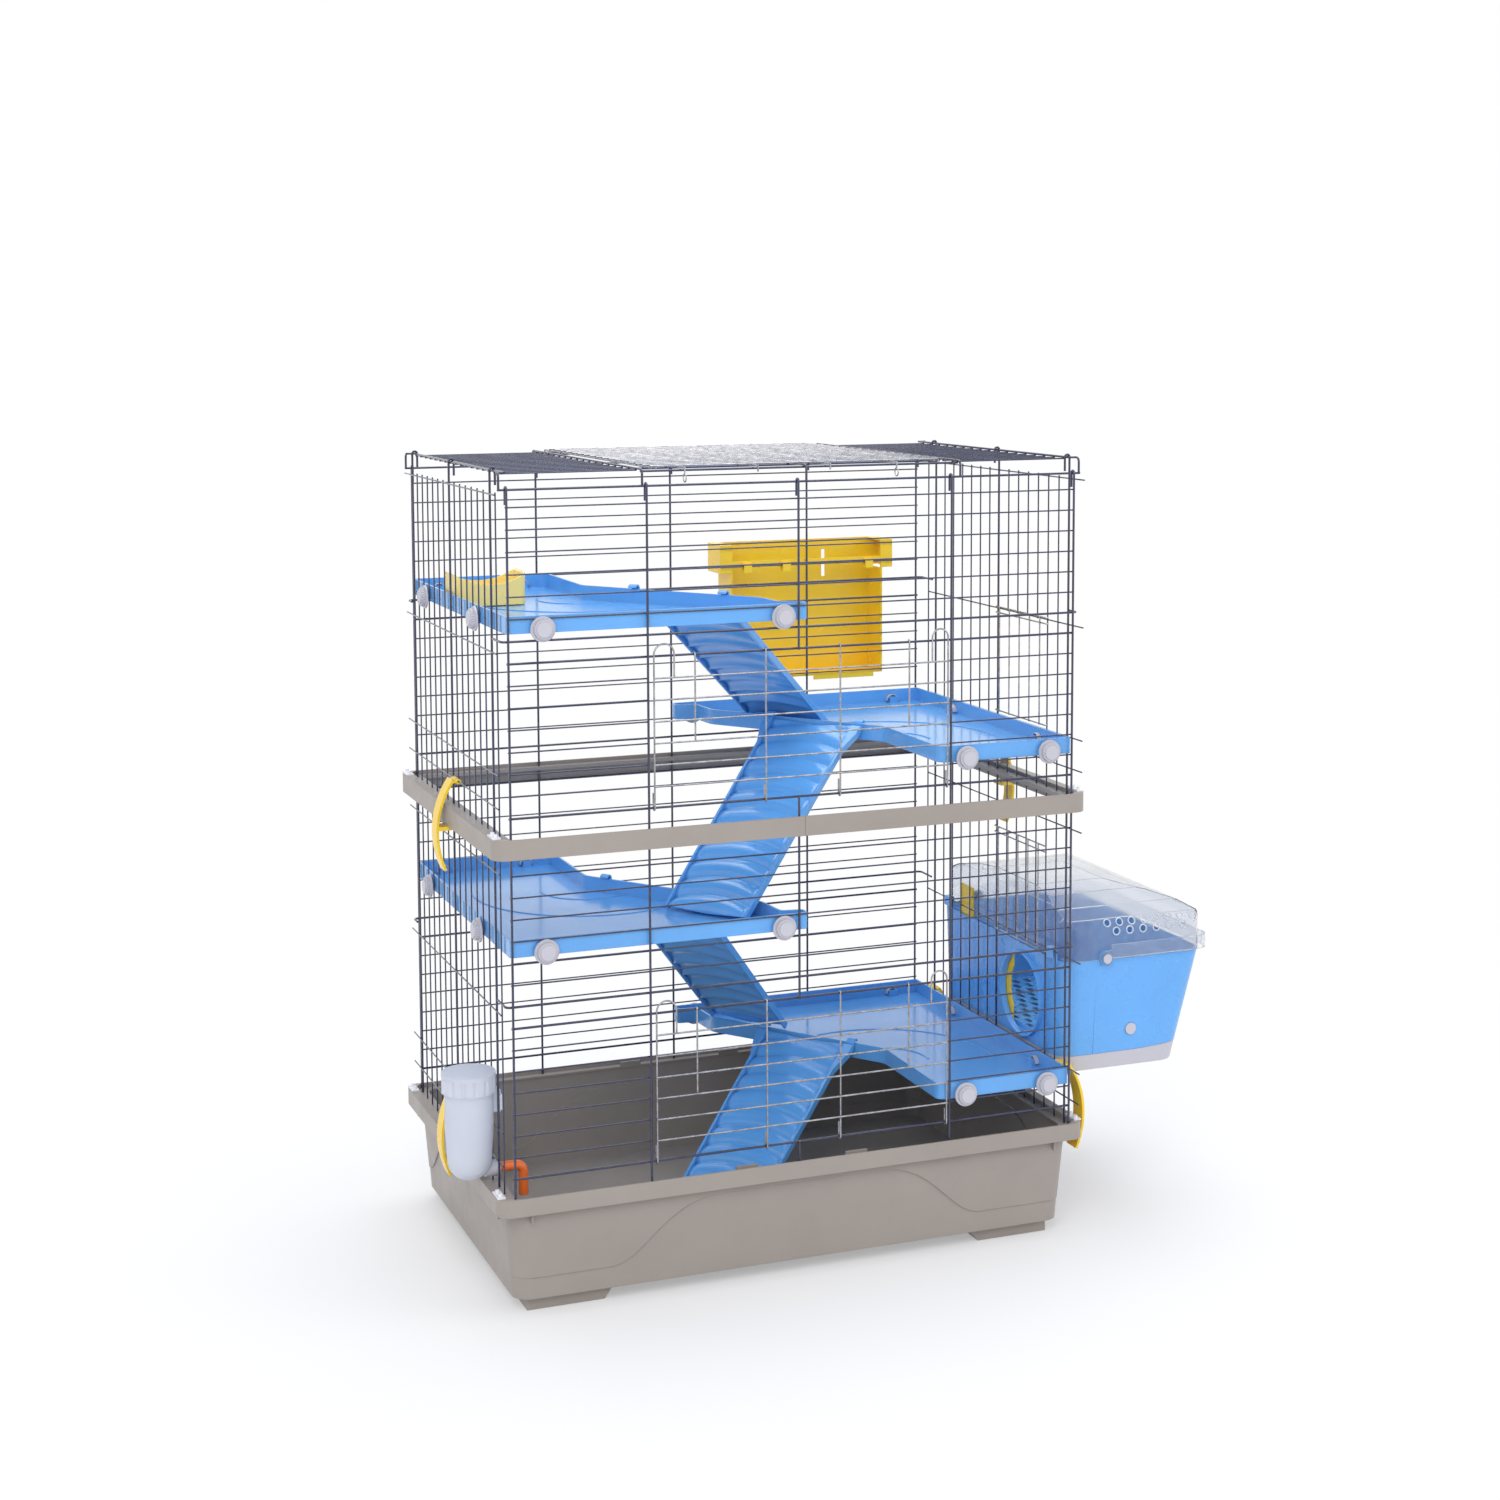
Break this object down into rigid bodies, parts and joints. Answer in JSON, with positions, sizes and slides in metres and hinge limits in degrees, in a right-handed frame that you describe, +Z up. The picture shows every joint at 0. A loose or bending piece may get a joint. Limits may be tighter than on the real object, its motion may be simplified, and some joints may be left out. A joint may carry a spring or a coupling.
{
  "type": "rodent cage",
  "caption": "Tall two-storey wire cage on a plastic tub, with shelves, ramps, doors, latches, bottle, bowl, hay rack and a small hanging carrier.",
  "frame": {"origin": "on the floor, under the middle of the whole object with its carrier, bottle and hay rack", "axes": "+X to the right, towards the carrier; +Y to the back; +Z up"},
  "size_m": [1.0586, 0.5518, 1.0378],
  "materials": {
    "taupe_plastic": "satin moulded plastic",
    "navy_wire": "glossy coating",
    "silver_wire": "bright zinc plate",
    "blue_plastic": "glossy moulded plastic",
    "carrier_blue_plastic": "glossy moulded plastic",
    "grey_plastic": "satin moulded plastic",
    "yellow_plastic": "glossy moulded plastic",
    "pale_yellow_plastic": "glossy moulded plastic",
    "frosted_plastic": "frosted, slightly see-through",
    "clear_plastic": "clear, slightly smoky",
    "orange_plastic": "glossy moulded plastic",
    "white_plastic": "satin moulded plastic"
  },
  "bodies": {
    "cage": {"tub": "taupe_plastic", "collar_left": "taupe_plastic", "collar_right": "taupe_plastic", "corner_clips": "white_plastic", "front_panel_lower": "navy_wire", "front_panel_upper": "navy_wire", "back_panel_lower": "navy_wire", "back_panel_upper": "navy_wire", "left_panel_lower": "navy_wire", "left_panel_upper": "navy_wire", "right_panel_lower": "navy_wire", "right_panel_upper": "navy_wire", "roof_panel": "navy_wire", "shelf_lower_right": "blue_plastic", "shelf_lower_left": "blue_plastic", "shelf_upper_right": "blue_plastic", "shelf_upper_left": "blue_plastic", "bottle": "frosted_plastic", "bottle_lid": "frosted_plastic", "bottle_outlet": "grey_plastic", "bottle_spout": "orange_plastic", "food_bowl": "pale_yellow_plastic", "hay_rack": "yellow_plastic", "carrier_body": "carrier_blue_plastic", "carrier_base": "grey_plastic", "carrier_floor": "carrier_blue_plastic", "carrier_door_rail": "carrier_blue_plastic", "carrier_pivot_caps": "white_plastic"},
    "roof_lid": {"roof_lid": "silver_wire"},
    "front_door_lower": {"front_door_lower": "silver_wire"},
    "front_door_upper": {"front_door_upper": "silver_wire"},
    "side_door_lower": {"side_door_lower": "silver_wire"},
    "side_door_upper": {"side_door_upper": "silver_wire"},
    "ramp_upper_left": {"ramp_upper_left": "blue_plastic"},
    "ramp_lower_left": {"ramp_lower_left": "blue_plastic"},
    "ramp_upper_right": {"ramp_upper_right": "blue_plastic"},
    "ramp_lower_right": {"ramp_lower_right": "blue_plastic"},
    "knob_lower_left_a": {"knob_lower_left_a": "grey_plastic"},
    "knob_lower_left_b": {"knob_lower_left_b": "grey_plastic"},
    "knob_lower_left_c": {"knob_lower_left_c": "grey_plastic"},
    "knob_lower_left_d": {"knob_lower_left_d": "grey_plastic"},
    "knob_upper_left_a": {"knob_upper_left_a": "grey_plastic"},
    "knob_upper_left_b": {"knob_upper_left_b": "grey_plastic"},
    "knob_upper_left_c": {"knob_upper_left_c": "grey_plastic"},
    "knob_upper_left_d": {"knob_upper_left_d": "grey_plastic"},
    "knob_lower_right_a": {"knob_lower_right_a": "grey_plastic"},
    "knob_lower_right_b": {"knob_lower_right_b": "grey_plastic"},
    "knob_lower_right_c": {"knob_lower_right_c": "grey_plastic"},
    "knob_upper_right_a": {"knob_upper_right_a": "grey_plastic"},
    "knob_upper_right_b": {"knob_upper_right_b": "grey_plastic"},
    "knob_upper_right_c": {"knob_upper_right_c": "grey_plastic"},
    "latch_tub_left": {"latch_tub_left": "yellow_plastic"},
    "latch_tub_right_front": {"latch_tub_right_front": "yellow_plastic"},
    "latch_tub_right_rear": {"latch_tub_right_rear": "yellow_plastic"},
    "latch_collar_left": {"latch_collar_left": "yellow_plastic"},
    "latch_collar_right": {"latch_collar_right": "yellow_plastic"},
    "carrier_lid": {"carrier_lid": "clear_plastic"},
    "carrier_handle": {"carrier_handle": "clear_plastic"},
    "carrier_door": {"carrier_door": "yellow_plastic"},
    "carrier_button": {"carrier_button": "grey_plastic"}
  },
  "joints": [
    {"name": "roof_lid_hinge", "type": "hinge", "parent": "cage", "child": "roof_lid", "pos_m": [-0.08135, 0.21102, 1.03035], "axis": [-1, 0, 0], "range_deg": [0, 110]},
    {"name": "front_door_lower_hinge", "type": "hinge", "parent": "cage", "child": "front_door_lower", "pos_m": [-0.08135, -0.25527, 0.176], "axis": [1, 0, 0], "range_deg": [0, 135]},
    {"name": "front_door_upper_hinge", "type": "hinge", "parent": "cage", "child": "front_door_upper", "pos_m": [-0.08135, -0.25527, 0.619], "axis": [1, 0, 0], "range_deg": [0, 135]},
    {"name": "side_door_lower_slide", "type": "slide", "parent": "cage", "child": "side_door_lower", "axis": [0, 0, 1], "range_m": [-0.136, 0]},
    {"name": "side_door_upper_slide", "type": "slide", "parent": "cage", "child": "side_door_upper", "axis": [0, 0, 1], "range_m": [0, 0.133]},
    {"name": "ramp_upper_left_hinge", "type": "hinge", "parent": "cage", "child": "ramp_upper_left", "pos_m": [-0.18143, -0.07655, 0.862], "axis": [0.592, -0.806, 0], "range_deg": [0, 25]},
    {"name": "ramp_lower_left_hinge", "type": "hinge", "parent": "cage", "child": "ramp_lower_left", "pos_m": [-0.21103, -0.03625, 0.47], "axis": [0.592, -0.806, 0], "range_deg": [0, 25]},
    {"name": "ramp_upper_right_hinge", "type": "hinge", "parent": "cage", "child": "ramp_upper_right", "pos_m": [0.04478, 0.00523, 0.668], "axis": [-0.592, 0.806, 0], "range_deg": [0, 25]},
    {"name": "ramp_lower_right_hinge", "type": "hinge", "parent": "cage", "child": "ramp_lower_right", "pos_m": [0.03767, 0.0149, 0.226], "axis": [-0.592, 0.806, 0], "range_deg": [0, 25]},
    {"name": "knob_lower_left_a_screw", "type": "hinge", "parent": "cage", "child": "knob_lower_left_a", "pos_m": [-0.4165, -0.25712, 0.454], "axis": [0, -1, 0], "continuous": true},
    {"name": "knob_lower_left_b_screw", "type": "hinge", "parent": "cage", "child": "knob_lower_left_b", "pos_m": [-0.10735, -0.25712, 0.454], "axis": [0, -1, 0], "continuous": true},
    {"name": "knob_lower_left_c_screw", "type": "hinge", "parent": "cage", "child": "knob_lower_left_c", "pos_m": [-0.4642, 0.13332, 0.454], "axis": [-1, 0, 0], "continuous": true},
    {"name": "knob_lower_left_d_screw", "type": "hinge", "parent": "cage", "child": "knob_lower_left_d", "pos_m": [-0.4642, -0.12367, 0.454], "axis": [-1, 0, 0], "continuous": true},
    {"name": "knob_upper_left_a_screw", "type": "hinge", "parent": "cage", "child": "knob_upper_left_a", "pos_m": [-0.4165, -0.25712, 0.846], "axis": [0, -1, 0], "continuous": true},
    {"name": "knob_upper_left_b_screw", "type": "hinge", "parent": "cage", "child": "knob_upper_left_b", "pos_m": [-0.10735, -0.25712, 0.846], "axis": [0, -1, 0], "continuous": true},
    {"name": "knob_upper_left_c_screw", "type": "hinge", "parent": "cage", "child": "knob_upper_left_c", "pos_m": [-0.4642, 0.13332, 0.846], "axis": [-1, 0, 0], "continuous": true},
    {"name": "knob_upper_left_d_screw", "type": "hinge", "parent": "cage", "child": "knob_upper_left_d", "pos_m": [-0.4642, -0.12367, 0.846], "axis": [-1, 0, 0], "continuous": true},
    {"name": "knob_lower_right_a_screw", "type": "hinge", "parent": "cage", "child": "knob_lower_right_a", "pos_m": [0.2638, -0.25712, 0.21], "axis": [0, -1, 0], "continuous": true},
    {"name": "knob_lower_right_b_screw", "type": "hinge", "parent": "cage", "child": "knob_lower_right_b", "pos_m": [0.14565, -0.25712, 0.21], "axis": [0, -1, 0], "continuous": true},
    {"name": "knob_lower_right_c_screw", "type": "hinge", "parent": "cage", "child": "knob_lower_right_c", "pos_m": [-0.05535, 0.22127, 0.21], "axis": [0, 1, 0], "continuous": true},
    {"name": "knob_upper_right_a_screw", "type": "hinge", "parent": "cage", "child": "knob_upper_right_a", "pos_m": [0.2638, -0.25712, 0.652], "axis": [0, -1, 0], "continuous": true},
    {"name": "knob_upper_right_b_screw", "type": "hinge", "parent": "cage", "child": "knob_upper_right_b", "pos_m": [0.14565, -0.25712, 0.652], "axis": [0, -1, 0], "continuous": true},
    {"name": "knob_upper_right_c_screw", "type": "hinge", "parent": "cage", "child": "knob_upper_right_c", "pos_m": [-0.05535, 0.22127, 0.652], "axis": [0, 1, 0], "continuous": true},
    {"name": "latch_tub_left_hinge", "type": "hinge", "parent": "cage", "child": "latch_tub_left", "pos_m": [-0.4645, -0.01792, 0.223], "axis": [0, 1, 0], "range_deg": [0, 50]},
    {"name": "latch_tub_right_front_hinge", "type": "hinge", "parent": "cage", "child": "latch_tub_right_front", "pos_m": [0.3018, -0.22553, 0.223], "axis": [0, -1, 0], "range_deg": [0, 50]},
    {"name": "latch_tub_right_rear_hinge", "type": "hinge", "parent": "cage", "child": "latch_tub_right_rear", "pos_m": [0.3018, 0.17408, 0.223], "axis": [0, -1, 0], "range_deg": [0, 50]},
    {"name": "latch_collar_left_hinge", "type": "hinge", "parent": "cage", "child": "latch_collar_left", "pos_m": [-0.4645, -0.01792, 0.625], "axis": [0, 1, 0], "range_deg": [0, 50]},
    {"name": "latch_collar_right_hinge", "type": "hinge", "parent": "cage", "child": "latch_collar_right", "pos_m": [0.3018, -0.01792, 0.625], "axis": [0, -1, 0], "range_deg": [0, 50]},
    {"name": "carrier_lid_lift", "type": "slide", "parent": "cage", "child": "carrier_lid", "axis": [0, 0, 1], "range_m": [0, 0.04]},
    {"name": "carrier_handle_hinge", "type": "hinge", "parent": "cage", "child": "carrier_handle", "pos_m": [0.36855, -0.03542, 0.36], "axis": [0, -1, 0], "range_deg": [0, 95]},
    {"name": "carrier_door_slide", "type": "slide", "parent": "cage", "child": "carrier_door", "axis": [0, -1, 0], "range_m": [0, 0.104]},
    {"name": "carrier_button_press", "type": "slide", "parent": "cage", "child": "carrier_button", "axis": [0, 1, 0], "range_m": [0, 0.002], "stiffness_N_per_m": 500}
  ]
}
